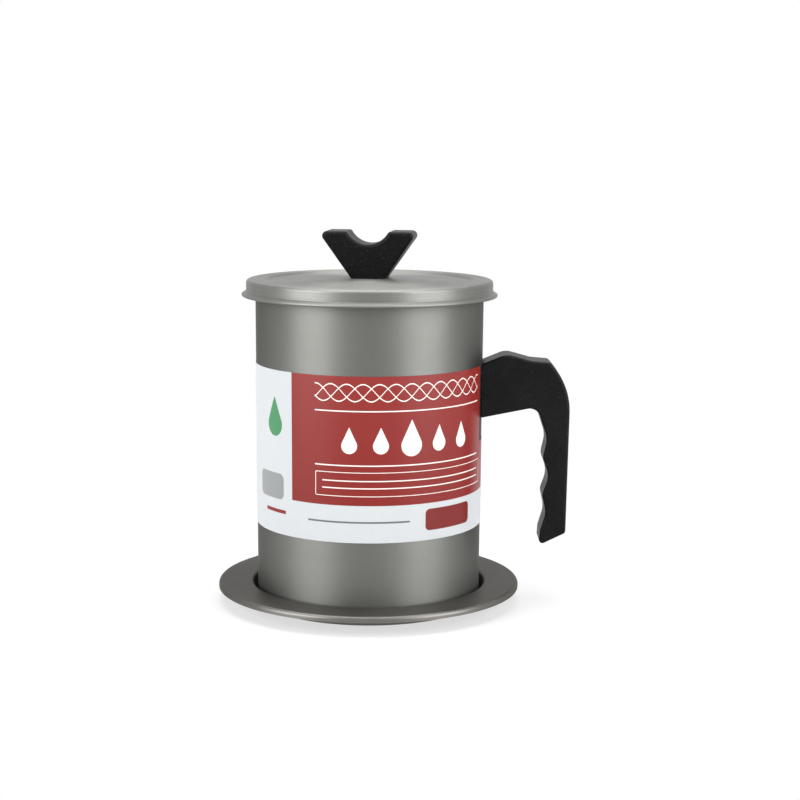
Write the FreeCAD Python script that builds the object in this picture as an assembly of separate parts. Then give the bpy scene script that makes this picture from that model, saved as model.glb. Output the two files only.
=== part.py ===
import FreeCAD, Part
import math
import os

# Grease container of coated sheet steel: a pot with a moulded side handle stands in a tray,
# a strainer cup hangs in its mouth and a knobbed lid closes it.
# Millimetres, +Z up, +X towards the handle, origin at the middle of the tray's underside.

# Pot
pot_diameter = 116.0
pot_height = 163.3
pot_sheet = 0.6
pot_draft = 0.8
pot_corner_radius = 3.2
pot_base_recess = 1.2
pot_base_ring_width = 11.0
pot_base_bend = 1.0
bead_width = 3.4
bead_height = 3.8
bead_bend = 1.2
bead_end_gap = 0.5

# Tray
tray_sheet = 0.8
tray_height = 10.0
tray_well_gap = 2.6
tray_well_taper = 2.2
tray_ledge_width = 17.7
tray_rim_drop = 3.0
tray_bend = 1.4

# Strainer
strainer_sheet = 0.6
strainer_wall_gap = 0.9
strainer_flange_inset = 0.6
strainer_depth = 33.0
strainer_taper = 4.6
strainer_bend = 1.6
strainer_floor_width = 11.5
mesh_thickness = 0.4
mesh_pitch = 4.2
mesh_hole = 3.1
mesh_lap = 4.0
ring_thickness = 0.8
ring_width = 5.4

# Lid
lid_sheet = 0.7
lid_fit_gap = 0.6
lid_skirt_depth = 6.0
lid_edge_radius = 1.6
lid_ring_width = 9.4
lid_ring_bend = 1.0
lid_step = 0.9
lid_step_run = 2.7
lid_panel_bend = 4.0
lid_crown = 0.7
lid_seat_radius = 14.0
lid_seat_bend = 2.0
lid_brim_width = 2.3
lid_brim_slope = 30.0
lid_brim_bend = 0.6
hem_gap = 0.1
hem_width = 1.6

# Knob
knob_height = 23.9
knob_width = 48.6
knob_neck_width = 17.4
knob_depth = 20.0
knob_neck_depth = 15.0
knob_corner_radius = 2.4
knob_edge_radius = 1.8
knob_lip = 1.6
notch_width = 21.5
notch_depth = 6.5
knob_turn = -8.0

# Knob fastening, an M4 screw into a moulded-in insert
knob_screw_diameter = 4.0
knob_screw_reach = 9.0
insert_diameter = 7.0
insert_length = 12.0
knob_washer_diameter = 12.0
knob_washer_thickness = 0.8

# Handle, an arm and a grip that hangs from it
handle_thickness = 20.0
handle_edge_radius = 1.6
handle_tip_radius = 1.8
handle_reach = 44.6
handle_root_gap = 0.3
handle_root_overrun = 5.8
arm_axis_height = 109.3
arm_root_height = 28.2
arm_root_drop = 2.9
arm_top_rise = 4.4
arm_peak_share = 0.35
arm_peak_radius = 9.0
arm_saddle_share = 0.73
arm_saddle_drop = 3.5
arm_saddle_radius = 10.0
arm_under_fall = 1.3
arm_under_rise = 5.5
inner_corner_lead = 3.3
inner_corner_radius = 5.5
shoulder_width = 10.6
shoulder_fall = 0.7
shoulder_edge_radius = 2.6
shoulder_drop = 12.1
shoulder_radius = 36.0
grip_depth = 13.6
grip_lean = 1.2
grip_drop = 80.7
grip_end_slope = 6.7
grip_end_flare = 1.3
grip_neck_flare = 0.8
grip_neck_radius = 3.0
finger_hollows = 3
finger_pitch = 19.2
finger_depth = 3.4
end_finger_depth = 2.1
finger_hollow_radius = 12.0
finger_ridge_radius = 6.0
lowest_hollow_height = 17.2

# Handle fastening, a bracket welded to the wall and an M5 screw from the back of the grip
bracket_sheet = 1.5
bracket_reach = 15.0
bracket_height = 18.0
bracket_width = 12.2
bracket_foot_width = 2.2
bracket_bend = 1.25
bracket_clearance = 0.2
bracket_weld_depth = 0.5
handle_screw_diameter = 5.0
handle_screw_length = 20.0
handle_washer_diameter = 9.0
handle_washer_thickness = 1.0
screw_seat_wall = 13.0
screw_bore_gap = 0.4
nut_width = 8.0
nut_height = 4.0
thread_gap = 0.05

# Pan-head screws, as shares of the thread's diameter
screw_head_radius_share = 0.88
screw_head_height_share = 0.6
screw_head_round_share = 0.27
screw_tip_share = 0.15

# The most of a straight run that one rounded corner may take
run_share = 0.98

# How far a cutting shape runs past the faces that it opens
overrun = 1.0

# Label sleeve
label_thickness = 0.2
label_bottom = 41.5
label_height = 82.0
label_notch_side = 5.0
label_notch_below = 11.0

# Heights and radii that follow from the sizes above
pot_floor = tray_sheet
rim_top = pot_floor + pot_height
strainer_top = rim_top + strainer_sheet
lid_ring_top = strainer_top + lid_sheet
lid_top = lid_ring_top + lid_crown
pot_top_radius = pot_diameter / 2
pot_bottom_radius = pot_top_radius - pot_draft
rim_radius = pot_top_radius + bead_width
skirt_inner_radius = rim_radius + lid_fit_gap
skirt_radius = skirt_inner_radius + lid_sheet
brim_radius = skirt_radius + lid_brim_width
well_radius = pot_bottom_radius + tray_well_gap
tray_radius = well_radius + tray_ledge_width
arm_axis = pot_floor + arm_axis_height

NUT_SIDES = 6
Z_AXIS = FreeCAD.Vector(0, 0, 1)
ORIGIN = FreeCAD.Vector(0, 0, 0)


def wall_radius(z):
    """Outer radius of the drafted pot wall at a height."""
    share = (z - pot_floor) / pot_height
    return pot_bottom_radius + pot_draft * share


def side_view(x, z):
    """A point of a profile that lies in the XZ plane."""
    return FreeCAD.Vector(x, 0, z)


def top_view(x, y):
    """A point of a profile that lies in the XY plane."""
    return FreeCAD.Vector(x, y, 0)


def end_view(y, z):
    """A point of a profile that lies in the YZ plane."""
    return FreeCAD.Vector(0, y, z)


def outline_wire(corners, place=side_view):
    """Closed wire of straight lines through corners (a, b, radius), each rounded by its radius.

    A rounding never takes more than the share run_share of what its two runs have left.
    """
    edges = []
    first_point = None
    last_point = None
    count = len(corners)
    for index, (a, b, radius) in enumerate(corners):
        corner = place(a, b)
        before = place(*corners[index - 1][:2])
        after = place(*corners[(index + 1) % count][:2])
        back = (before - corner).normalize()
        ahead = (after - corner).normalize()
        entry = corner
        leave = corner
        if radius > 0:
            half = back.getAngle(ahead) / 2
            room_behind = before if last_point is None else last_point
            room = min((corner - room_behind).Length, (after - corner).Length)
            tangent = min(radius / math.tan(half), run_share * room)
            radius = tangent * math.tan(half)
            middle = (back + ahead).normalize()
            entry = corner + back * tangent
            leave = corner + ahead * tangent
            crest = corner + middle * (radius / math.sin(half) - radius)
        if last_point is not None:
            edges.append(Part.LineSegment(last_point, entry).toShape())
        if radius > 0:
            edges.append(Part.Arc(entry, crest, leave).toShape())
        if first_point is None:
            first_point = entry
        last_point = leave
    edges.append(Part.LineSegment(last_point, first_point).toShape())
    return Part.Wire(edges)


def sheet_corners(path, thickness):
    """Corners of a sheet's section from its middle line, a list of (a, b, bend radius)."""
    half = thickness / 2
    near = []
    far = []
    last = len(path) - 1
    for index, (a, b, bend) in enumerate(path):
        normals = []
        for start, end in ((index - 1, index), (index, index + 1)):
            if start < 0 or end > last:
                continue
            run = FreeCAD.Vector(path[end][0] - path[start][0], path[end][1] - path[start][1], 0)
            run.normalize()
            normals.append(FreeCAD.Vector(-run.y, run.x, 0))
        turn = normals[0].cross(normals[-1]).z
        shift = (normals[0] + normals[-1]) * (half / (1 + normals[0].dot(normals[-1])))
        toward = math.copysign(half, turn)
        near.append((a + shift.x, b + shift.y, max(bend - toward, 0.0) if bend else 0.0))
        far.append((a - shift.x, b - shift.y, max(bend + toward, 0.0) if bend else 0.0))
    return near + far[::-1]


def turned(corners):
    """Solid of revolution about the pot's axis."""
    return Part.Face(outline_wire(corners)).revolve(ORIGIN, Z_AXIS, 360)


def turned_sheet(path, thickness):
    """Sheet-metal shell turned from its middle line."""
    return turned(sheet_corners(path, thickness))


def cylinder(diameter, z_low, z_high):
    """Upright cylinder on the pot's axis."""
    return Part.makeCylinder(diameter / 2, z_high - z_low, FreeCAD.Vector(0, 0, z_low))


def along_arm(shape, x):
    """Turn a shape that stands on the axis so that it points out along the arm, from x."""
    shape.rotate(ORIGIN, FreeCAD.Vector(0, 1, 0), 90)
    shape.translate(FreeCAD.Vector(x, 0, arm_axis))
    return shape


def edges_on_faces(solid, y):
    """Edges that lie in either of the two planes at a distance y from the XZ plane."""
    tolerance = 1e-4
    found = []
    for edge in solid.Edges:
        box = edge.BoundBox
        if box.YLength < tolerance and abs(abs(box.YMin) - y) < tolerance:
            found.append(edge)
    return found


def pan_screw(diameter, reach):
    """Pan-head screw: head below z = 0, plain shank above it with a chamfered tip."""
    head_radius = screw_head_radius_share * diameter
    head_height = screw_head_height_share * diameter
    head_round = screw_head_round_share * diameter
    shank = diameter / 2
    tip = screw_tip_share * diameter
    corners = [
        (0, -head_height, 0),
        (head_radius, -head_height, head_round),
        (head_radius, 0, 0),
        (shank, 0, 0),
        (shank, reach - tip, 0),
        (shank - tip, reach, 0),
        (0, reach, 0),
    ]
    return turned(corners)


def ring(outer_diameter, bore_diameter, thickness):
    """Flat washer or ring that stands on z = 0."""
    return cylinder(outer_diameter, 0, thickness).cut(cylinder(bore_diameter, -overrun, thickness + overrun))


def make_tray():
    """Pressed tray: flat floor, near-upright well wall, wide flat ledge and a turned-down rim."""
    half = tray_sheet / 2
    ledge = tray_height - half
    rim = tray_radius - half
    path = [
        (0, half, 0),
        (well_radius - tray_well_taper, half, tray_bend),
        (well_radius + half, ledge, tray_bend),
        (rim, ledge, tray_bend),
        (rim, tray_height - tray_rim_drop, 0),
    ]
    return turned_sheet(path, tray_sheet)


def pot_solid():
    """The pot as a full drafted solid, used to seat what is fixed to its wall."""
    low = pot_floor - overrun
    high = rim_top + overrun
    slope = overrun * pot_draft / pot_height
    return Part.makeCone(pot_bottom_radius - slope, pot_top_radius + slope, high - low,
                         FreeCAD.Vector(0, 0, low))


def make_pot_body():
    """Drawn pot: recessed base on a standing ring, drafted wall and an outward curled bead."""
    half = pot_sheet / 2
    ring_inner = pot_bottom_radius - pot_corner_radius - pot_base_ring_width
    bead_outer = rim_radius - half
    path = [
        (0, pot_floor + pot_base_recess + half, 0),
        (ring_inner - pot_base_recess, pot_floor + pot_base_recess + half, pot_base_bend),
        (ring_inner, pot_floor + half, pot_base_bend),
        (pot_bottom_radius - half, pot_floor + half, pot_corner_radius - half),
        (pot_top_radius - half, rim_top - half, bead_bend),
        (bead_outer, rim_top - half, bead_bend),
        (bead_outer, rim_top - bead_height + half, bead_bend),
        (pot_top_radius + bead_end_gap, rim_top - bead_height + half, 0),
    ]
    return turned_sheet(path, pot_sheet)


def make_strainer_cup():
    """Strainer cup: flange that lies on the pot's bead, tapered wall and an inward floor ring."""
    half = strainer_sheet / 2
    mouth = pot_top_radius - pot_sheet - strainer_wall_gap - half
    floor = mouth - strainer_taper
    floor_z = strainer_top - strainer_depth + half
    path = [
        (rim_radius - strainer_flange_inset, strainer_top - half, 0),
        (mouth, strainer_top - half, strainer_bend),
        (floor, floor_z, strainer_bend),
        (floor - strainer_floor_width, floor_z, 0),
    ]
    return turned_sheet(path, strainer_sheet)


def strainer_opening_radius():
    """Inner radius of the strainer's floor ring."""
    mouth = pot_top_radius - pot_sheet - strainer_wall_gap - strainer_sheet / 2
    return mouth - strainer_taper - strainer_floor_width


def strainer_floor_top():
    """Height of the floor ring's upper face, where the mesh lies."""
    return strainer_top - strainer_depth + strainer_sheet


def make_strainer_mesh():
    """Flat net: one holed face of square gaps inside a plain margin."""
    z = strainer_floor_top()
    opening = strainer_opening_radius()
    margin = Part.Wire([Part.makeCircle(opening + mesh_lap, FreeCAD.Vector(0, 0, z))])
    wires = [margin]
    steps = int(opening / mesh_pitch) + 1
    for column in range(-steps, steps + 1):
        for row in range(-steps, steps + 1):
            x = column * mesh_pitch
            y = row * mesh_pitch
            if math.hypot(abs(x) + mesh_hole / 2, abs(y) + mesh_hole / 2) > opening:
                continue
            half = mesh_hole / 2
            signs = ((-1, -1), (1, -1), (1, 1), (-1, 1), (-1, -1))
            wires.append(Part.makePolygon([FreeCAD.Vector(x + half * a, y + half * b, z) for a, b in signs]))
    print("mesh gaps", len(wires) - 1)
    return Part.Face(wires, "Part::FaceMakerBullseye").extrude(FreeCAD.Vector(0, 0, mesh_thickness))


def make_strainer_ring():
    """Clamp ring that holds the mesh down on the cup's floor ring."""
    inner = strainer_opening_radius()
    clamp = ring(2 * (inner + ring_width), 2 * inner, ring_thickness)
    clamp.translate(FreeCAD.Vector(0, 0, strainer_floor_top() + mesh_thickness))
    return clamp


def make_lid_shell():
    """Pressed lid: flat knob seat, dished panel, raised ring, skirt and a sloping hemmed brim."""
    half = lid_sheet / 2
    seat = lid_top - half
    outer_ring = lid_ring_top - half
    step_radius = skirt_radius - lid_ring_width
    skirt = skirt_radius - half
    skirt_bottom = lid_ring_top - lid_skirt_depth
    slope = math.radians(lid_brim_slope)
    out = (math.cos(slope), -math.sin(slope))
    down = (-math.sin(slope), -math.cos(slope))
    tip_radius = brim_radius - lid_sheet + half * (math.cos(slope) + math.sin(slope))
    tip_z = skirt_bottom - (tip_radius - skirt) * math.tan(slope)
    fold = lid_sheet + hem_gap
    fold_radius = tip_radius + fold * down[0]
    fold_z = tip_z + fold * down[1]
    path = [
        (knob_screw_diameter / 2 + thread_gap, seat, 0),
        (lid_seat_radius, seat, lid_seat_bend),
        (step_radius - lid_step_run, outer_ring - lid_step, lid_panel_bend),
        (step_radius, outer_ring, lid_ring_bend),
        (skirt, outer_ring, lid_edge_radius - half),
        (skirt, skirt_bottom, lid_brim_bend),
        (tip_radius, tip_z, half),
        (fold_radius, fold_z, half),
        (fold_radius - hem_width * out[0], fold_z - hem_width * out[1], 0),
    ]
    return turned_sheet(path, lid_sheet)


def make_lid_knob():
    """Knob: a wedge that widens upwards both ways, with a round saddle across its top."""
    half_top = knob_width / 2
    half_neck = knob_neck_width / 2
    top = lid_top + knob_height
    lip = top - knob_lip
    front = [
        (-half_neck, lid_top, 0),
        (-half_top, lip, knob_corner_radius),
        (-half_top + 2 * knob_lip, top, knob_corner_radius),
        (half_top - 2 * knob_lip, top, knob_corner_radius),
        (half_top, lip, knob_corner_radius),
        (half_neck, lid_top, 0),
    ]
    body = Part.Face(outline_wire(front)).extrude(FreeCAD.Vector(0, knob_depth, 0))
    body.translate(FreeCAD.Vector(0, -knob_depth / 2, 0))
    side = [
        (-knob_neck_depth / 2, lid_top, 0),
        (-knob_depth / 2, top, 0),
        (knob_depth / 2, top, 0),
        (knob_neck_depth / 2, lid_top, 0),
    ]
    wedge = Part.Face(outline_wire(side, end_view)).extrude(FreeCAD.Vector(knob_width, 0, 0))
    wedge.translate(FreeCAD.Vector(-knob_width / 2, 0, 0))
    saddle_radius = (notch_width ** 2 / 4 + notch_depth ** 2) / (2 * notch_depth)
    saddle_z = top - notch_depth + saddle_radius
    saddle = Part.makeCylinder(saddle_radius, 2 * knob_depth, FreeCAD.Vector(0, -knob_depth, saddle_z),
                               FreeCAD.Vector(0, 1, 0))
    body = body.common(wedge).cut(saddle)
    rounded = []
    for edge in body.Edges:
        box = edge.BoundBox
        across = box.YLength > knob_depth / 2
        saddle_lip = across and box.ZMin > lip and abs(abs(box.Center.x) - notch_width / 2) < knob_lip / 2
        rim = not across and box.ZMax > lid_top + knob_edge_radius
        if saddle_lip or rim:
            rounded.append(edge)
    body = body.makeFillet(knob_edge_radius, rounded)
    body = body.cut(cylinder(insert_diameter, lid_top - overrun, lid_top + insert_length))
    body.rotate(ORIGIN, Z_AXIS, knob_turn)
    return body


def make_knob_insert():
    """Threaded insert moulded into the knob's neck."""
    bore = knob_screw_diameter + 2 * thread_gap
    sleeve = cylinder(insert_diameter, lid_top, lid_top + insert_length)
    return sleeve.cut(cylinder(bore, lid_top - overrun, lid_top + knob_screw_reach + overrun))


def make_knob_washer():
    """Washer between the lid's underside and the screw head."""
    washer = ring(knob_washer_diameter, knob_screw_diameter + 2 * thread_gap, knob_washer_thickness)
    washer.translate(FreeCAD.Vector(0, 0, lid_top - lid_sheet - knob_washer_thickness))
    return washer


def make_knob_screw():
    """Screw that comes up from inside the lid into the knob."""
    head_face = lid_top - lid_sheet - knob_washer_thickness
    screw = pan_screw(knob_screw_diameter, lid_top + knob_screw_reach - head_face)
    screw.translate(FreeCAD.Vector(0, 0, head_face))
    return screw


def handle_corners():
    """Side view of the handle: out along the arm's top, down the back, up the finger grip."""
    wall = wall_radius(arm_axis)
    outer = wall + handle_reach
    inner = outer - grip_depth
    top = arm_axis + arm_root_height / 2
    under = arm_axis - arm_root_height / 2
    bottom = arm_axis - grip_drop
    shoulder = outer - shoulder_width
    peak = wall + (shoulder - wall) * arm_peak_share
    saddle = wall + (shoulder - wall) * arm_saddle_share
    saddle_top = top + arm_top_rise - arm_saddle_drop
    sunk = wall - handle_root_overrun
    corners = [
        (sunk, top - arm_root_drop, 0),
        (peak, top + arm_top_rise, arm_peak_radius),
        (saddle, saddle_top, arm_saddle_radius),
        (shoulder, saddle_top - shoulder_fall, shoulder_edge_radius),
        (outer, top - shoulder_drop, shoulder_radius),
        (outer - grip_lean, bottom + grip_end_slope, handle_tip_radius),
        (inner - grip_end_flare, bottom, handle_tip_radius),
        (inner - grip_neck_flare, bottom + lowest_hollow_height - finger_pitch / 2, grip_neck_radius),
    ]
    for index in range(finger_hollows):
        hollow_z = bottom + lowest_hollow_height + index * finger_pitch
        between = 0 < index < finger_hollows - 1
        depth = finger_depth if between else end_finger_depth
        corners.append((inner + depth, hollow_z, finger_hollow_radius))
        if index < finger_hollows - 1:
            corners.append((inner, hollow_z + finger_pitch / 2, finger_ridge_radius))
    corners.append((inner - inner_corner_lead, under + arm_under_rise, inner_corner_radius))
    corners.append((sunk, under - arm_under_fall, 0))
    return corners


def screw_seat():
    """Distance from the axis of the face that the handle screw's washer bears on."""
    return wall_radius(arm_axis) + bracket_reach + screw_seat_wall


def make_handle():
    """Moulded handle with finger hollows, a socket for the bracket and a sunk screw hole."""
    prism = Part.Face(outline_wire(handle_corners())).extrude(FreeCAD.Vector(0, handle_thickness, 0))
    prism.translate(FreeCAD.Vector(0, -handle_thickness / 2, 0))
    body = prism.makeFillet(handle_edge_radius, edges_on_faces(prism, handle_thickness / 2))
    wall = wall_radius(arm_axis)
    end = wall + bracket_reach + bracket_clearance
    socket_width = bracket_width + 2 * (bracket_foot_width + bracket_clearance)
    socket_height = bracket_height + 2 * bracket_clearance
    socket = Part.makeBox(end, socket_width, socket_height,
                          FreeCAD.Vector(0, -socket_width / 2, arm_axis - socket_height / 2))
    seat = screw_seat()
    bore = along_arm(cylinder(handle_screw_diameter + screw_bore_gap, 0, handle_reach), end - overrun)
    sink = along_arm(cylinder(handle_washer_diameter + screw_bore_gap, 0, handle_reach), seat)
    root = pot_solid()
    root = root.scale(1 + handle_root_gap / wall, FreeCAD.Vector(0, 0, arm_axis))
    return body.cut(root).cut(socket).cut(bore).cut(sink)


def make_handle_bracket():
    """Channel bracket: two feet welded to the wall, two cheeks and a web with the screw hole."""
    half = bracket_sheet / 2
    wall = wall_radius(arm_axis)
    foot_x = wall + half - bracket_weld_depth
    cheek = bracket_width / 2 - half
    foot = bracket_width / 2 + bracket_foot_width
    web = wall + bracket_reach - half
    path = [
        (foot_x, -foot, 0),
        (foot_x, -cheek, bracket_bend),
        (web, -cheek, bracket_bend),
        (web, cheek, bracket_bend),
        (foot_x, cheek, bracket_bend),
        (foot_x, foot, 0),
    ]
    section = Part.Face(outline_wire(sheet_corners(path, bracket_sheet), top_view))
    bracket = section.extrude(FreeCAD.Vector(0, 0, bracket_height))
    bracket.translate(FreeCAD.Vector(0, 0, arm_axis - bracket_height / 2))
    bore = handle_screw_diameter + 2 * thread_gap
    hole = along_arm(cylinder(bore, 0, bracket_reach), wall + bracket_reach / 2)
    return bracket.cut(pot_solid()).cut(hole)


def make_bracket_nut():
    """Hexagon nut welded behind the bracket's web."""
    corner_radius = nut_width / math.sqrt(3)
    points = []
    for index in range(NUT_SIDES + 1):
        angle = math.radians(360 * (index + 0.5) / NUT_SIDES)
        points.append(top_view(corner_radius * math.sin(angle), corner_radius * math.cos(angle)))
    nut = Part.Face(Part.makePolygon(points)).extrude(FreeCAD.Vector(0, 0, nut_height))
    nut = nut.cut(cylinder(handle_screw_diameter + 2 * thread_gap, -overrun, nut_height + overrun))
    return along_arm(nut, wall_radius(arm_axis) + bracket_reach - bracket_sheet - nut_height)


def make_handle_washer():
    """Washer at the bottom of the handle's sunk hole."""
    washer = ring(handle_washer_diameter, handle_screw_diameter + 2 * thread_gap, handle_washer_thickness)
    return along_arm(washer, screw_seat())


def make_handle_screw():
    """Screw from the back of the handle into the bracket's nut."""
    screw = pan_screw(handle_screw_diameter, handle_screw_length)
    screw.rotate(ORIGIN, FreeCAD.Vector(0, 1, 0), 180)
    return along_arm(screw, screw_seat() + handle_washer_thickness)


def make_label_sleeve():
    """Printed sleeve round the pot, open round the handle's root."""
    top = label_bottom + label_height
    inner = [wall_radius(label_bottom), wall_radius(top)]
    corners = [
        (inner[0], label_bottom, 0),
        (inner[0] + label_thickness, label_bottom, 0),
        (inner[1] + label_thickness, top, 0),
        (inner[1], top, 0),
    ]
    sleeve = turned(corners)
    notch_bottom = arm_axis - arm_root_height / 2 - label_notch_below
    width = handle_thickness + 2 * label_notch_side
    notch = Part.makeBox(pot_diameter, width, label_height,
                         FreeCAD.Vector(0, -width / 2, notch_bottom))
    return sleeve.cut(notch)


os.makedirs("parts", exist_ok=True)
makers = {
    "tray": make_tray,
    "pot_body": make_pot_body,
    "handle_bracket": make_handle_bracket,
    "bracket_nut": make_bracket_nut,
    "handle": make_handle,
    "handle_washer": make_handle_washer,
    "handle_screw": make_handle_screw,
    "label_sleeve": make_label_sleeve,
    "strainer_cup": make_strainer_cup,
    "strainer_mesh": make_strainer_mesh,
    "strainer_ring": make_strainer_ring,
    "lid_shell": make_lid_shell,
    "lid_knob": make_lid_knob,
    "knob_insert": make_knob_insert,
    "knob_washer": make_knob_washer,
    "knob_screw": make_knob_screw,
}
for node, make in makers.items():
    shape = make()
    print(node, shape.isValid(), len(shape.Solids), round(shape.Volume, 1))
    shape.exportStep("parts/" + node + ".step")
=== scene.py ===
import math

import bmesh
import bpy
from bpy.props import FloatProperty, FloatVectorProperty, PointerProperty
from mathutils import Matrix, Vector


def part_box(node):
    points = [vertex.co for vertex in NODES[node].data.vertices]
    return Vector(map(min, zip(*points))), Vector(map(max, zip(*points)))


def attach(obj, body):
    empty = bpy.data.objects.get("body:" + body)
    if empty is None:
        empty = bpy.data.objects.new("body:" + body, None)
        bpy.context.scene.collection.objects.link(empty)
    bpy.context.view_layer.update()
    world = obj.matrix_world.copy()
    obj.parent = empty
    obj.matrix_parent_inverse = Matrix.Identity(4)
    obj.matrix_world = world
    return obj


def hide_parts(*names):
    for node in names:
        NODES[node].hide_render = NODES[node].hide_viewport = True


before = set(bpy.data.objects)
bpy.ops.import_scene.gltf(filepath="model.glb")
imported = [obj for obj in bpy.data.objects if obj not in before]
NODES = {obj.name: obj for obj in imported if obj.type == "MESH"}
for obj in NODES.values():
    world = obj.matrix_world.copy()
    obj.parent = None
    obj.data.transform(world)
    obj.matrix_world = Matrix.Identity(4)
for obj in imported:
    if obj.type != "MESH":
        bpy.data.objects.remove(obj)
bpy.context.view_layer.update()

bl_info = {
    "name": "Grease container finishes",
    "version": (1, 0, 0),
    "blender": (4, 5, 0),
    "location": "3D View > Sidebar > Grease pot",
    "description": "Finishes, printed label, strainer net and stage for a lidded grease container",
    "category": "Object",
}

MM = 0.001
LABEL_LOW, LABEL_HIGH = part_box("label_sleeve")
NET_LOW, NET_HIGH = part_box("strainer_mesh")
COATING_RELIEF = 0.012 * MM
BRUSHING_RELIEF = 0.010 * MM
MOULDING_RELIEF = 0.035 * MM
LID_SMOOTHER = 0.02
TRAY_SMOOTHER = 0.10
LAMP_TARGET = (0.0, 0.0, 0.1)

# Node groups and materials by short name, filled by the first operator.
GROUPS = {}
MATERIALS = {}


def colour_property(name, description, default):
    """A linear colour that a user may change."""
    return FloatVectorProperty(name=name, description=description, default=default, size=3,
                               subtype="COLOR", min=0.0, max=1.0)


class GreasePotCoatings(bpy.types.PropertyGroup):
    """Colours and gloss of the coated steel."""

    pot: colour_property("Pot coating", "Metallic grey of the pot", (0.170, 0.171, 0.160))
    lid: colour_property("Lid coating", "Metallic grey of the lid", (0.205, 0.205, 0.194))
    tray: colour_property("Tray coating", "Darker metallic grey of the tray", (0.155, 0.150, 0.140))
    steel: colour_property("Bare steel", "Stainless steel of the strainer", (0.56, 0.56, 0.55))
    brass: colour_property("Insert brass", "Brass of the knob's insert", (0.60, 0.42, 0.17))
    roughness: FloatProperty(name="Coating roughness", description="Blur of the coating's reflections",
                             default=0.50, min=0.05, max=1.0)
    edge: FloatProperty(name="Edge tint", description="Brightness of the coating seen along its surface",
                        default=0.45, min=0.0, max=1.0)
    lid_edge: FloatProperty(name="Lid edge tint", description="The same for the lid's coating",
                            default=0.85, min=0.0, max=1.0)
    lid_spun: FloatProperty(name="Lid spun sheen", description="How far the lid's rings stretch reflections",
                            default=0.65, min=0.0, max=1.0)
    spun: FloatProperty(name="Spun sheen", description="How far the turning marks stretch the reflections",
                        default=0.55, min=0.0, max=1.0)


class GreasePotPlastic(bpy.types.PropertyGroup):
    """Colour and gloss of the moulded handle and knob."""

    colour: colour_property("Moulding", "Black of the handle and knob", (0.0048, 0.0050, 0.0054))
    roughness: FloatProperty(name="Moulding roughness", description="Blur of the plastic's reflections",
                             default=0.40, min=0.05, max=1.0)


class GreasePotLabel(bpy.types.PropertyGroup):
    """Colours and places of the fields printed on the label; angles are counted from its front."""

    white: colour_property("Label white", "Ground of the label", (0.510, 0.532, 0.545))
    red: colour_property("Panel red", "Main panel of the label", (0.190, 0.0105, 0.008))
    deep_red: colour_property("Tab red", "Small rounded tab of the label", (0.16, 0.008, 0.007))
    green: colour_property("Drop green", "Drop beside the panel", (0.05, 0.22, 0.09))
    panel_left: FloatProperty(name="Panel left edge", description="Angle of the panel's left edge",
                              default=math.radians(-40.0), subtype="ANGLE")
    panel_right: FloatProperty(name="Panel right edge", description="Angle of the panel's right edge",
                               default=math.radians(84.0), subtype="ANGLE")
    band_height: FloatProperty(name="White band", description="Height of the white band below the panel",
                               default=0.0185, unit="LENGTH")


class GreasePotNet(bpy.types.PropertyGroup):
    """Sizes of the strainer's woven net."""

    pitch: FloatProperty(name="Pitch", description="Distance from wire to wire",
                         default=0.0016, min=0.0008, unit="LENGTH")
    wire: FloatProperty(name="Wire", description="Thickness of a wire", default=0.00042, unit="LENGTH")


class GreasePotStage(bpy.types.PropertyGroup):
    """Camera and lamps."""

    camera_place: FloatVectorProperty(name="Camera", description="Where the camera stands",
                                      default=(0.01573, -0.9209, 0.24685), size=3, unit="LENGTH")
    camera_pitch: FloatProperty(name="Pitch", description="Camera's downward tilt",
                                default=0.1546, subtype="ANGLE")
    camera_roll: FloatProperty(name="Roll", description="Camera's turn about its own line of sight",
                               default=0.0065, subtype="ANGLE")
    lens: FloatProperty(name="Lens", description="Focal length in millimetres", default=81.76)
    side_power: FloatProperty(name="Side lamps", description="Power of each side softbox in watts",
                              default=20.0)
    top_power: FloatProperty(name="Top lamp", description="Power of the overhead softbox in watts",
                             default=17.0)
    fill: FloatProperty(name="Fill", description="Strength of the room's diffuse light", default=0.2)


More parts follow.
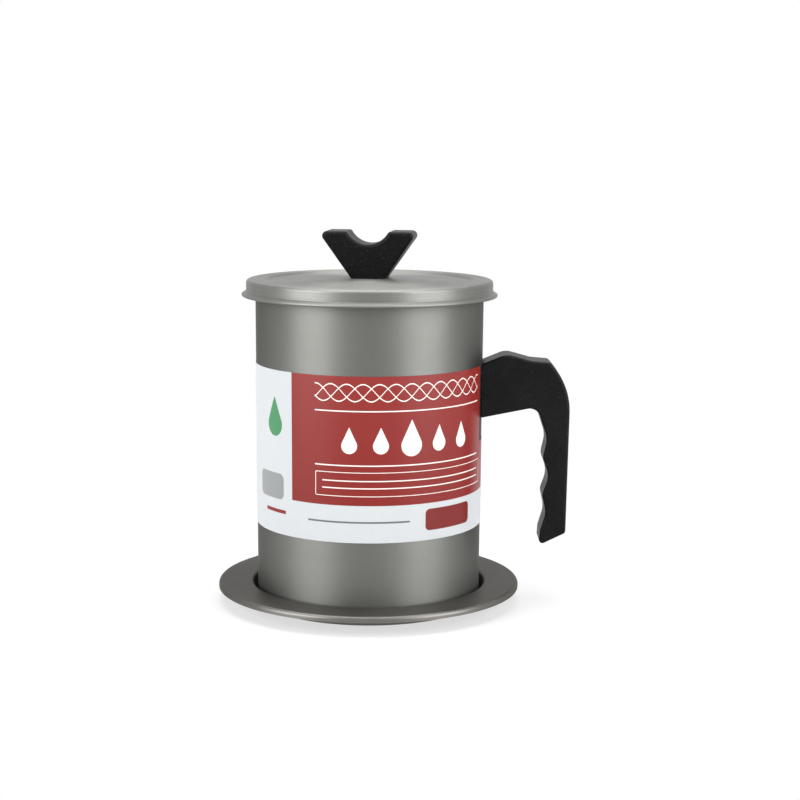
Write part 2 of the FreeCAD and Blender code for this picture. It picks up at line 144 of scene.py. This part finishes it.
class Graph:
    """Short calls for adding and joining the nodes of one material or group."""

    def __init__(self, tree):
        self.tree = tree

    def add(self, kind, inputs=None, **settings):
        """Add a node, set its properties and join or set its inputs."""
        node = self.tree.nodes.new(kind)
        for key, value in settings.items():
            setattr(node, key, value)
        for key, value in (inputs or {}).items():
            self.feed(node.inputs[key], value)
        return node

    def feed(self, socket, value):
        """Join a socket to another node's output, or set its value."""
        if isinstance(value, bpy.types.NodeSocket):
            self.tree.links.new(value, socket)
        elif socket.type == "RGBA" and len(value) == 3:
            socket.default_value = (*value, 1.0)
        else:
            socket.default_value = value

    def math(self, operation, *values):
        """One Math node; its values are sockets or numbers."""
        node = self.tree.nodes.new("ShaderNodeMath")
        node.operation = operation
        for index, value in enumerate(values):
            self.feed(node.inputs[index], value)
        return node.outputs[0]

    def mix(self, factor, first, second, blend="MIX"):
        """Mix two colours by a mask."""
        node = self.tree.nodes.new("ShaderNodeMix")
        node.data_type = "RGBA"
        node.blend_type = blend
        colour_inputs = [s for s in node.inputs if s.type == "RGBA"]
        self.feed(node.inputs[0], factor)
        self.feed(colour_inputs[0], first)
        self.feed(colour_inputs[1], second)
        return next(s for s in node.outputs if s.type == "RGBA")

    def ramp(self, value, low, high, start=0.0, end=1.0):
        """Carry a value from one range to another, clamped."""
        node = self.add("ShaderNodeMapRange", {"Value": value, "From Min": low, "From Max": high,
                                               "To Min": start, "To Max": end})
        return node.outputs["Result"]

    def spread(self, value, start, end):
        """Carry the range that most of a noise takes up to another range."""
        return self.ramp(value, 0.3, 0.7, start, end)

    def length(self, across, up):
        """Length of a vector from its two parts."""
        squares = [self.math("MULTIPLY", part, part) for part in (across, up)]
        return self.math("SQRT", self.math("ADD", *squares))

    def tint(self, colour, light):
        """Multiply a colour by a brightness."""
        grey = self.add("ShaderNodeCombineXYZ", {"X": light, "Y": light, "Z": light}).outputs[0]
        return self.mix(1.0, colour, grey, "MULTIPLY")

    def noise(self, vector, scale, detail, roughness):
        """Noise value at a vector."""
        node = self.add("ShaderNodeTexNoise", {"Vector": vector, "Scale": scale, "Detail": detail,
                                               "Roughness": roughness})
        return node.outputs["Fac"]

    def place(self):
        """Object coordinates and their three parts, in metres."""
        vector = self.add("ShaderNodeTexCoord").outputs["Object"]
        parts = self.add("ShaderNodeSeparateXYZ", {"Vector": vector}).outputs
        return vector, parts[0], parts[1], parts[2]

    def cluster(self, group, **inputs):
        """Place a shared node group and feed its named inputs."""
        node = self.add("ShaderNodeGroup", node_tree=group)
        for key, value in inputs.items():
            self.feed(node.inputs[key.replace("_", " ")], value)
        return node.outputs


def new_group(name, inputs, outputs):
    """Node group with float inputs {name: default} and float outputs; returns it, its graph and its ends."""
    group = bpy.data.node_groups.new(name, "ShaderNodeTree")
    for key, value in inputs.items():
        socket = group.interface.new_socket(key, in_out="INPUT", socket_type="NodeSocketFloat")
        socket.default_value = value
    for key in outputs:
        group.interface.new_socket(key, in_out="OUTPUT", socket_type="NodeSocketFloat")
    graph = Graph(group)
    start = graph.add("NodeGroupInput").outputs
    end = graph.add("NodeGroupOutput").inputs
    return group, graph, start, end


def coating_grain_group():
    """Metallic flake and orange-peel of a sprayed coating."""
    cloud_scale = 22.0
    flake_share = 0.55
    flake_height = 0.35
    group, graph, start, end = new_group(
        "Coating grain", {"Flake scale": 2600.0, "Peel scale": 420.0}, ("Shade", "Height"))
    vector = graph.place()[0]
    flake = graph.noise(vector, start["Flake scale"], 1.0, 0.6)
    peel = graph.noise(vector, start["Peel scale"], 2.0, 0.5)
    cloud = graph.noise(vector, cloud_scale, 3.0, 0.55)
    shade = graph.math("ADD", graph.math("MULTIPLY", flake, flake_share),
                       graph.math("MULTIPLY", cloud, 1.0 - flake_share))
    graph.feed(end["Shade"], shade)
    graph.feed(end["Height"], graph.math("ADD", graph.math("MULTIPLY", flake, flake_height), peel))
    return group


def turning_marks_group():
    """Fine rings left by spinning or brushing round the pot's axis."""
    fine_share = 0.6
    broad_scale = 0.17
    breaks_per_radian = 1.3
    group, graph, start, end = new_group(
        "Turning marks", {"Rings per metre": 1800.0}, ("Shade", "Height"))
    _, x, y, z = graph.place()
    radius = graph.length(x, y)
    angle = graph.math("ARCTAN2", x, y)
    around = graph.add("ShaderNodeCombineXYZ", {
        "X": graph.math("MULTIPLY", radius, start["Rings per metre"]),
        "Y": graph.math("MULTIPLY", z, start["Rings per metre"]),
        "Z": graph.math("MULTIPLY", graph.math("ABSOLUTE", angle), breaks_per_radian),
    }).outputs[0]
    fine = graph.noise(around, 1.0, 3.0, 0.6)
    broad = graph.noise(around, broad_scale, 1.0, 0.5)
    shade = graph.math("ADD", graph.math("MULTIPLY", fine, fine_share),
                       graph.math("MULTIPLY", broad, 1.0 - fine_share))
    graph.feed(end["Shade"], shade)
    graph.feed(end["Height"], fine)
    return group


def handling_group():
    """Faint smears and dust that break up a smooth finish's gloss."""
    speck_scale = 1500.0
    group, graph, start, end = new_group("Handling marks", {"Patch scale": 30.0}, ("Smear", "Dust"))
    vector = graph.place()[0]
    patch = graph.noise(vector, start["Patch scale"], 4.0, 0.62)
    speck = graph.noise(vector, speck_scale, 0.0, 0.5)
    graph.feed(end["Smear"], graph.ramp(patch, 0.42, 0.68))
    graph.feed(end["Dust"], graph.ramp(speck, 0.70, 0.80))
    return group


def rounded_field_group():
    """A rounded rectangle on the label: mask of its inside and distance to its edge."""
    soft_edge = 0.08 * MM
    group, graph, start, end = new_group(
        "Rounded field",
        {"U": 0.0, "V": 0.0, "Centre U": 0.0, "Centre V": 0.0, "Half U": 0.01, "Half V": 0.01, "Corner": 0.0},
        ("Mask", "Distance"))
    reach = []
    for axis in ("U", "V"):
        offset = graph.math("ABSOLUTE", graph.math("SUBTRACT", start[axis], start["Centre " + axis]))
        inner = graph.math("SUBTRACT", start["Half " + axis], start["Corner"])
        reach.append(graph.math("SUBTRACT", offset, inner))
    outside = [graph.math("MAXIMUM", value, 0.0) for value in reach]
    length = graph.length(*outside)
    inside = graph.math("MINIMUM", graph.math("MAXIMUM", *reach), 0.0)
    distance = graph.math("SUBTRACT", graph.math("ADD", length, inside), start["Corner"])
    graph.feed(end["Mask"], graph.ramp(distance, soft_edge, -soft_edge))
    graph.feed(end["Distance"], distance)
    return group


def drop_group():
    """A plain drop: a circle under a pointed cap tangent to it."""
    group, graph, start, end = new_group(
        "Plain drop", {"U": 0.0, "V": 0.0, "Centre U": 0.0, "Centre V": 0.0, "Radius": 0.004}, ("Mask",))
    peak_ratio = 2.35
    slope = math.tan(math.asin(1 / peak_ratio))
    u = graph.math("SUBTRACT", start["U"], start["Centre U"])
    v = graph.math("SUBTRACT", start["V"], start["Centre V"])
    bowl = graph.math("LESS_THAN", graph.length(u, v), start["Radius"])
    peak = graph.math("MULTIPLY", start["Radius"], peak_ratio)
    side = graph.math("MULTIPLY", graph.math("SUBTRACT", peak, v), slope)
    cap = graph.math("LESS_THAN", graph.math("ABSOLUTE", u), side)
    above = graph.math("GREATER_THAN", v, graph.math("MULTIPLY", start["Radius"], 1 / peak_ratio))
    graph.feed(end["Mask"], graph.math("MAXIMUM", bowl, graph.math("MULTIPLY", cap, above)))
    return group


def new_material(name):
    """Empty material with a Principled shader; returns the material, its graph and the shader."""
    material = bpy.data.materials.new(name)
    material.use_nodes = True
    material.node_tree.nodes.clear()
    graph = Graph(material.node_tree)
    output = graph.add("ShaderNodeOutputMaterial")
    shader = graph.add("ShaderNodeBsdfPrincipled")
    graph.tree.links.new(shader.outputs[0], output.inputs[0])
    return material, graph, shader


def spun_sheen(graph, shader, amount):
    """Stretch a shader's reflections across the rings that run round the pot's axis."""
    quarter_turn = 0.25
    rings = graph.add("ShaderNodeTangent", direction_type="RADIAL", axis="Z")
    graph.feed(shader.inputs["Tangent"], rings.outputs[0])
    shader.inputs["Anisotropic"].default_value = amount
    shader.inputs["Anisotropic Rotation"].default_value = quarter_turn


def relief(graph, shader, height, distance):
    """Give a shader a bump of a real height in metres."""
    bump = graph.add("ShaderNodeBump", {"Height": height, "Distance": distance, "Strength": 1.0})
    graph.feed(shader.inputs["Normal"], bump.outputs[0])


def coated_steel(name, colour, roughness, turned, edge, spun):
    """Satin metallic non-stick coating on sheet steel, with as much turning mark as asked."""
    ring_contrast = 0.16 * turned
    material, graph, shader = new_material(name)
    grain = graph.cluster(GROUPS["grain"])
    marks = graph.cluster(GROUPS["turning"])
    wear = graph.cluster(GROUPS["handling"])
    flake_light = graph.spread(grain["Shade"], 0.90, 1.10)
    ring_light = graph.spread(marks["Shade"], 1.0 - ring_contrast, 1.0 + ring_contrast)
    light = graph.math("MULTIPLY", flake_light, ring_light)
    graph.feed(shader.inputs["Base Color"], graph.tint(colour, light))
    shader.inputs["Metallic"].default_value = 1.0
    shader.inputs["Specular Tint"].default_value = (edge, edge, edge, 1.0)
    spun_sheen(graph, shader, spun)
    gloss = graph.math("ADD", graph.ramp(wear["Smear"], 0.0, 1.0, roughness - 0.02, roughness + 0.03),
                       graph.spread(grain["Shade"], -0.03, 0.03))
    graph.feed(shader.inputs["Roughness"], gloss)
    height = graph.math("ADD", graph.math("MULTIPLY", grain["Height"], 1.0 - 0.6 * turned),
                        graph.math("MULTIPLY", marks["Height"], 1.2 * turned))
    relief(graph, shader, height, COATING_RELIEF)
    return material


def bare_steel(name, colour, roughness, rings):
    """Stainless or plated steel, brushed round the axis."""
    material, graph, shader = new_material(name)
    marks = graph.cluster(GROUPS["turning"], Rings_per_metre=rings)
    wear = graph.cluster(GROUPS["handling"], Patch_scale=70.0)
    light = graph.spread(marks["Shade"], 0.86, 1.08)
    graph.feed(shader.inputs["Base Color"], graph.tint(colour, light))
    shader.inputs["Metallic"].default_value = 1.0
    gloss = graph.math("ADD", graph.spread(marks["Shade"], roughness - 0.05, roughness + 0.05),
                       graph.ramp(wear["Smear"], 0.0, 1.0, 0.0, 0.06))
    graph.feed(shader.inputs["Roughness"], gloss)
    relief(graph, shader, marks["Height"], BRUSHING_RELIEF)
    return material


def moulded_plastic(name, colour, roughness):
    """Matte black phenolic with a fine spark-eroded texture, rubbed patches and specks of dust."""
    dust_colour = (0.10, 0.10, 0.10)
    dust_cover = 0.25
    rubbed_gain = 1.5
    texture_scale = 1900.0
    specular_level = 0.09
    material, graph, shader = new_material(name)
    vector = graph.place()[0]
    texture = graph.noise(vector, texture_scale, 2.0, 0.6)
    wear = graph.cluster(GROUPS["handling"], Patch_scale=55.0)
    rubbed = graph.mix(wear["Smear"], colour, tuple(rubbed_gain * c for c in colour))
    dusty = graph.mix(graph.math("MULTIPLY", wear["Dust"], dust_cover), rubbed, dust_colour)
    graph.feed(shader.inputs["Base Color"], dusty)
    gloss = graph.math("ADD", graph.ramp(wear["Smear"], 0.0, 1.0, roughness + 0.03, roughness - 0.04),
                       graph.spread(texture, -0.04, 0.04))
    graph.feed(shader.inputs["Roughness"], gloss)
    shader.inputs["Specular IOR Level"].default_value = specular_level
    relief(graph, shader, texture, MOULDING_RELIEF)
    return material


def printed_label(settings):
    """Printed film: a white ground, a red panel with a plait, drops and rules, and a white band below it."""
    material, graph, shader = new_material("Printed label")
    _, x, y, z = graph.place()
    radius = (LABEL_HIGH.x - LABEL_LOW.x) / 2
    angle = graph.math("ARCTAN2", x, graph.math("MULTIPLY", y, -1.0))
    around = graph.math("MULTIPLY", angle, radius)
    where = {"U": around, "V": z}
    bottom = LABEL_LOW.z
    top = LABEL_HIGH.z
    left = settings.panel_left * radius
    right = settings.panel_right * radius
    middle = (left + right) / 2
    panel_low = bottom + settings.band_height
    panel_half = (right - left) / 2
    panel_overlap = 1 * MM
    rule_half = panel_half - 14 * MM
    drop_row = panel_low + 29.5 * MM
    drop_pitch = 15.5 * MM
    plait_row = panel_low + 55.5 * MM
    plait_reach = 6 * MM
    plait_swing = 4.2 * MM
    plait_pitch = 24 * MM
    plait_strands = 3
    box_middle = middle + 2 * MM
    band_row = bottom + 10.2 * MM
    rule_thin = 0.3 * MM
    side_middle = left - 13 * MM
    paper_scale = 900.0
    specular_level = 0.32
    print_colour = (0.80, 0.74, 0.70)
    field_grey = (0.24, 0.25, 0.25)
    dash_black = (0.05, 0.05, 0.055)
    seam_grey = (0.35, 0.36, 0.37)

    def field(centre_u, centre_v, half_u, half_v, corner):
        """A rounded rectangle on the label: its mask and its distance."""
        return graph.cluster(GROUPS["field"], Centre_U=centre_u, Centre_V=centre_v, Half_U=half_u,
                             Half_V=half_v, Corner=corner, **where)

    def outline(shape, width):
        """A line just inside a rounded rectangle's edge."""
        inset = graph.math("ADD", shape["Distance"], width)
        return graph.math("LESS_THAN", graph.math("ABSOLUTE", inset), width / 2)

    def drop(centre_u, centre_v, size):
        """A plain drop on the label."""
        return graph.cluster(GROUPS["drop"], Centre_U=centre_u, Centre_V=centre_v, Radius=size,
                             **where)["Mask"]

    def strand(turn):
        """One wavy line of the plait; the strands share out one swing between them."""
        phase = math.tau * turn / plait_strands
        swing = graph.math("SINE", graph.math("MULTIPLY_ADD", around, math.tau / plait_pitch, phase))
        height = graph.math("MULTIPLY_ADD", swing, plait_swing, plait_row)
        offset = graph.math("ABSOLUTE", graph.math("SUBTRACT", z, height))
        return graph.math("LESS_THAN", offset, rule_thin)

    panel = field(middle, (panel_low + top) / 2 + panel_overlap, panel_half,
                  (top - panel_low) / 2 + panel_overlap, 0.0)["Mask"]
    box = field(box_middle, panel_low + 10.5 * MM, panel_half - 12 * MM, 6.2 * MM, 1.0 * MM)
    tab = field(left + 86 * MM, band_row, 15.5 * MM, 5.4 * MM, 2.4 * MM)["Mask"]

    paper = graph.noise(graph.place()[0], paper_scale, 2.0, 0.5)
    ground = graph.mix(graph.ramp(paper, 0.35, 0.65, 0.0, 0.35), settings.white,
                       tuple(0.93 * c for c in settings.white))
    # Painted highlight: the panel's red is made lighter towards its top.
    painted_top_highlight = graph.ramp(z, panel_low, top, 0.0, 1.0)
    red = graph.mix(painted_top_highlight, settings.red, tuple(1.12 * c + 0.008 for c in settings.red))
    colour = graph.mix(panel, ground, red)

    ink = outline(box, 0.35 * MM)
    for row in (8.6, 12.2):
        line = field(box_middle, panel_low + row * MM, panel_half - 16 * MM, 0.28 * MM, 0.0)["Mask"]
        ink = graph.math("MAXIMUM", ink, line)
    for column in (-2, -1, 0, 1, 2):
        size = (3.9 if column else 5.4) * MM
        ink = graph.math("MAXIMUM", ink, drop(middle + column * drop_pitch, drop_row, size))
    ribbon = field(middle, plait_row, rule_half, plait_reach, 0.0)["Mask"]
    for turn in range(plait_strands):
        ink = graph.math("MAXIMUM", ink, graph.math("MULTIPLY", ribbon, strand(turn)))
    for row in (19.8, 46.5):
        rule = field(middle, panel_low + row * MM, rule_half, rule_thin, 0.0)["Mask"]
        ink = graph.math("MAXIMUM", ink, rule)
    colour = graph.mix(ink, colour, print_colour)

    side_drop = drop(side_middle, top - 27 * MM, 6.0 * MM)
    colour = graph.mix(side_drop, colour, settings.green)
    side_field = field(left - 17 * MM, bottom + 24 * MM, 11 * MM, 6.5 * MM, 3 * MM)["Mask"]
    colour = graph.mix(side_field, colour, field_grey)
    side_rule = field(side_middle, bottom + 11.5 * MM, 8.5 * MM, 0.9 * MM, 0.4 * MM)["Mask"]
    colour = graph.mix(side_rule, colour, settings.red)
    colour = graph.mix(tab, colour, settings.deep_red)
    dash = field(left + 36 * MM, band_row, 26 * MM, 0.45 * MM, 0.2 * MM)["Mask"]
    colour = graph.mix(graph.math("MULTIPLY", dash, 0.85), colour, dash_black)
    seam_place = 6 * MM - math.pi * radius
    seam = field(seam_place, (bottom + top) / 2, 0.25 * MM, (top - bottom) / 2, 0.0)["Mask"]
    colour = graph.mix(graph.math("MULTIPLY", seam, 0.5), colour, seam_grey)
    graph.feed(shader.inputs["Base Color"], colour)

    wear = graph.cluster(GROUPS["handling"], Patch_scale=45.0)
    graph.feed(shader.inputs["Roughness"], graph.ramp(wear["Smear"], 0.0, 1.0, 0.34, 0.42))
    shader.inputs["Specular IOR Level"].default_value = specular_level
    height = graph.math("ADD", graph.math("MULTIPLY", paper, 0.3), graph.math("MULTIPLY", seam, 2.0))
    relief(graph, shader, height, COATING_RELIEF)
    return material


def finish_node(node, key):
    """Give a CAD node one of this script's materials."""
    mesh = NODES[node].data
    mesh.materials.clear()
    mesh.materials.append(MATERIALS[key])


def new_piece(name, bm, material, body):
    """Make an object of a bmesh, give it its material and let it ride on a body."""
    mesh = bpy.data.meshes.new(name)
    bm.to_mesh(mesh)
    bm.free()
    mesh.materials.append(MATERIALS[material])
    piece = bpy.data.objects.new(name, mesh)
    bpy.context.scene.collection.objects.link(piece)
    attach(piece, body)
    return piece


class GREASEPOT_OT_finishes(bpy.types.Operator):
    """Build the shared node groups and every material"""

    bl_idname = "greasepot.finishes"
    bl_label = "Make finishes"

    def execute(self, context):
        scene = context.scene
        GROUPS.update(grain=coating_grain_group(), turning=turning_marks_group(), handling=handling_group(),
                      field=rounded_field_group(), drop=drop_group())
        coats = scene.greasepot_coatings
        plastic = scene.greasepot_plastic
        MATERIALS.update(
            pot=coated_steel("Pot coating", tuple(coats.pot), coats.roughness,
                             turned=0.12, edge=coats.edge, spun=coats.spun),
            lid=coated_steel("Lid coating", tuple(coats.lid), coats.roughness - LID_SMOOTHER,
                             turned=0.75, edge=coats.lid_edge, spun=coats.lid_spun),
            tray=coated_steel("Tray coating", tuple(coats.tray), coats.roughness - TRAY_SMOOTHER,
                              turned=0.45, edge=coats.edge, spun=coats.spun),
            strainer=bare_steel("Strainer steel", tuple(coats.steel), roughness=0.24, rings=2600.0),
            net=bare_steel("Net wire", tuple(0.9 * c for c in coats.steel), roughness=0.30, rings=4000.0),
            plated=bare_steel("Plated steel", tuple(1.08 * c for c in coats.steel), roughness=0.22,
                              rings=1200.0),
            brass=bare_steel("Insert brass", tuple(coats.brass), roughness=0.28, rings=1500.0),
            plastic=moulded_plastic("Black moulding", tuple(plastic.colour), plastic.roughness),
            label=printed_label(scene.greasepot_label),
        )
        return {"FINISHED"}


class GREASEPOT_OT_coated_parts(bpy.types.Operator):
    """Finish the pot, the lid and the tray"""

    bl_idname = "greasepot.coated_parts"
    bl_label = "Finish coated parts"

    def execute(self, context):
        finish_node("pot_body", "pot")
        finish_node("lid_shell", "lid")
        finish_node("tray", "tray")
        return {"FINISHED"}


class GREASEPOT_OT_mouldings(bpy.types.Operator):
    """Finish the handle and the knob"""

    bl_idname = "greasepot.mouldings"
    bl_label = "Finish mouldings"

    def execute(self, context):
        finish_node("handle", "plastic")
        finish_node("lid_knob", "plastic")
        return {"FINISHED"}


class GREASEPOT_OT_fastenings(bpy.types.Operator):
    """Finish the bracket, nut, washers, screws and insert"""

    bl_idname = "greasepot.fastenings"
    bl_label = "Finish fastenings"

    def execute(self, context):
        for node in ("handle_bracket", "bracket_nut", "handle_washer", "handle_screw", "knob_washer",
                     "knob_screw"):
            finish_node(node, "plated")
        finish_node("knob_insert", "brass")
        return {"FINISHED"}


class GREASEPOT_OT_label(bpy.types.Operator):
    """Print the label"""

    bl_idname = "greasepot.label"
    bl_label = "Print label"

    def execute(self, context):
        finish_node("label_sleeve", "label")
        return {"FINISHED"}


class GREASEPOT_OT_strainer(bpy.types.Operator):
    """Finish the strainer cup and weave its net"""

    bl_idname = "greasepot.strainer"
    bl_label = "Make strainer"

    def execute(self, context):
        finish_node("strainer_cup", "strainer")
        finish_node("strainer_ring", "strainer")
        net = context.scene.greasepot_net
        radius = (NET_HIGH.x - NET_LOW.x) / 2 - net.wire
        steps = 2 * int(radius / net.pitch)
        half_span = steps * net.pitch / 2
        bm = bmesh.new()
        bmesh.ops.create_grid(bm, x_segments=steps, y_segments=steps, size=half_span)
        outside = [v for v in bm.verts if v.co.length > radius]
        bmesh.ops.delete(bm, geom=outside, context="VERTS")
        lift = net.wire * 0.25
        height = (NET_LOW.z + NET_HIGH.z) / 2
        for v in bm.verts:
            column = round(v.co.x / net.pitch)
            row = round(v.co.y / net.pitch)
            v.co.z = height + (lift if (column + row) % 2 else -lift)
        piece = new_piece("woven_net", bm, "net", "strainer")
        wires = piece.modifiers.new("Wires", "WIREFRAME")
        wires.thickness = net.wire
        wires.use_even_offset = False
        wires.use_boundary = True
        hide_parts("strainer_mesh")
        return {"FINISHED"}


class GREASEPOT_OT_stage(bpy.types.Operator):
    """Set up the floor, lamps, room light and camera"""

    bl_idname = "greasepot.stage"
    bl_label = "Set up stage"

    def execute(self, context):
        stage = context.scene.greasepot_stage
        make_floor()
        make_room(context.scene, stage.fill)
        for name, azimuth in (("Left softbox", -56.0), ("Right softbox", 57.0)):
            side_lamp(name, math.radians(azimuth), stage.side_power)
        overhead_lamp(stage.top_power)
        data = bpy.data.cameras.new("Camera")
        data.lens = stage.lens
        data.sensor_width = 36.0
        data.clip_start = 0.01
        camera = bpy.data.objects.new("Camera", data)
        context.scene.collection.objects.link(camera)
        pitch = Matrix.Rotation(math.pi / 2 - stage.camera_pitch, 4, "X")
        roll = Matrix.Rotation(stage.camera_roll, 4, "Z")
        camera.matrix_world = Matrix.Translation(Vector(stage.camera_place)) @ pitch @ roll
        context.scene.camera = camera
        context.scene.view_settings.view_transform = "Standard"
        return {"FINISHED"}


def make_floor():
    """Pale floor that takes the object's shadow and fades into the white background."""
    half_width = 4.0
    drop = 0.2 * MM
    fade_start = 0.09
    fade_end = 0.24
    glow_share = 0.62
    bm = bmesh.new()
    bmesh.ops.create_grid(bm, x_segments=1, y_segments=1, size=half_width)
    mesh = bpy.data.meshes.new("Floor")
    bm.to_mesh(mesh)
    bm.free()
    floor = bpy.data.objects.new("Floor", mesh)
    floor.location.z = -drop
    bpy.context.scene.collection.objects.link(floor)
    material = bpy.data.materials.new("Floor")
    material.use_nodes = True
    material.node_tree.nodes.clear()
    graph = Graph(material.node_tree)
    output = graph.add("ShaderNodeOutputMaterial")
    matte = graph.add("ShaderNodeBsdfDiffuse", {"Color": (0.86, 0.86, 0.86)})
    glow = graph.add("ShaderNodeEmission", {"Color": (1.0, 1.0, 1.0), "Strength": 1.0})
    _, x, y, _ = graph.place()
    far = graph.ramp(graph.length(x, y), fade_start, fade_end, glow_share, 1.0)
    path = graph.add("ShaderNodeLightPath").outputs
    seen = graph.math("MAXIMUM", path["Is Camera Ray"], path["Is Glossy Ray"])
    share = graph.math("MULTIPLY", far, seen)
    blend = graph.add("ShaderNodeMixShader", {0: share, 1: matte.outputs[0], 2: glow.outputs[0]})
    graph.tree.links.new(blend.outputs[0], output.inputs[0])
    mesh.materials.append(material)


def make_room(scene, fill):
    """White background for the camera and for reflections, softer light for the rest."""
    world = bpy.data.worlds.new("Room")
    scene.world = world
    world.use_nodes = True
    world.node_tree.nodes.clear()
    graph = Graph(world.node_tree)
    output = graph.add("ShaderNodeOutputWorld")
    path = graph.add("ShaderNodeLightPath").outputs
    seen = graph.math("MAXIMUM", graph.math("MAXIMUM", path["Is Camera Ray"], path["Is Glossy Ray"]),
                      path["Is Transmission Ray"])
    strength = graph.ramp(seen, 0.0, 1.0, fill, 1.0)
    light = graph.add("ShaderNodeBackground", {"Color": (1.0, 1.0, 1.0), "Strength": strength})
    graph.tree.links.new(light.outputs[0], output.inputs[0])


def area_lamp(name, place, width, height, power):
    """One rectangular softbox, aimed at the object."""
    data = bpy.data.lights.new(name, "AREA")
    data.shape = "RECTANGLE"
    data.size = width
    data.size_y = height
    data.energy = power
    lamp = bpy.data.objects.new(name, data)
    lamp.location = place
    bpy.context.scene.collection.objects.link(lamp)
    direction = Vector(LAMP_TARGET) - lamp.location
    lamp.rotation_euler = direction.to_track_quat("-Z", "Y").to_euler()


def side_lamp(name, azimuth, power):
    """Tall softbox at an angle from the camera's side of the object."""
    distance = 1.25
    height = 0.42
    place = (distance * math.sin(azimuth), -distance * math.cos(azimuth), height)
    area_lamp(name, place, width=0.95, height=1.35, power=power)


def overhead_lamp(power):
    """Broad softbox above and a little behind the object."""
    place = (0.0, 0.15, 1.25)
    area_lamp("Overhead softbox", place, width=1.1, height=1.1, power=power)


class GREASEPOT_PT_panel(bpy.types.Panel):
    """Sidebar panel that lists the steps"""

    bl_idname = "GREASEPOT_PT_panel"
    bl_label = "Grease pot"
    bl_space_type = "VIEW_3D"
    bl_region_type = "UI"
    bl_category = "Grease pot"

    def draw(self, context):
        for operator in OPERATORS:
            self.layout.operator(operator.bl_idname)
        for name in GROUP_NAMES:
            settings = getattr(context.scene, name)
            for key in settings.bl_rna.properties.keys():
                if key not in ("rna_type", "name"):
                    self.layout.prop(settings, key)


SETTINGS = (GreasePotCoatings, GreasePotPlastic, GreasePotLabel, GreasePotNet, GreasePotStage)
GROUP_NAMES = (
    "greasepot_coatings",
    "greasepot_plastic",
    "greasepot_label",
    "greasepot_net",
    "greasepot_stage",
)
OPERATORS = (
    GREASEPOT_OT_finishes,
    GREASEPOT_OT_coated_parts,
    GREASEPOT_OT_mouldings,
    GREASEPOT_OT_fastenings,
    GREASEPOT_OT_label,
    GREASEPOT_OT_strainer,
    GREASEPOT_OT_stage,
)


def register():
    for cls in (*SETTINGS, *OPERATORS, GREASEPOT_PT_panel):
        bpy.utils.register_class(cls)
    for name, cls in zip(GROUP_NAMES, SETTINGS):
        setattr(bpy.types.Scene, name, PointerProperty(type=cls))


def unregister():
    for name in GROUP_NAMES:
        delattr(bpy.types.Scene, name)
    for cls in (GREASEPOT_PT_panel, *reversed(OPERATORS), *reversed(SETTINGS)):
        bpy.utils.unregister_class(cls)


def main():
    register()
    for operator in OPERATORS:
        category, name = operator.bl_idname.split(".")
        getattr(getattr(bpy.ops, category), name)()


if __name__ == "__main__":
    main()
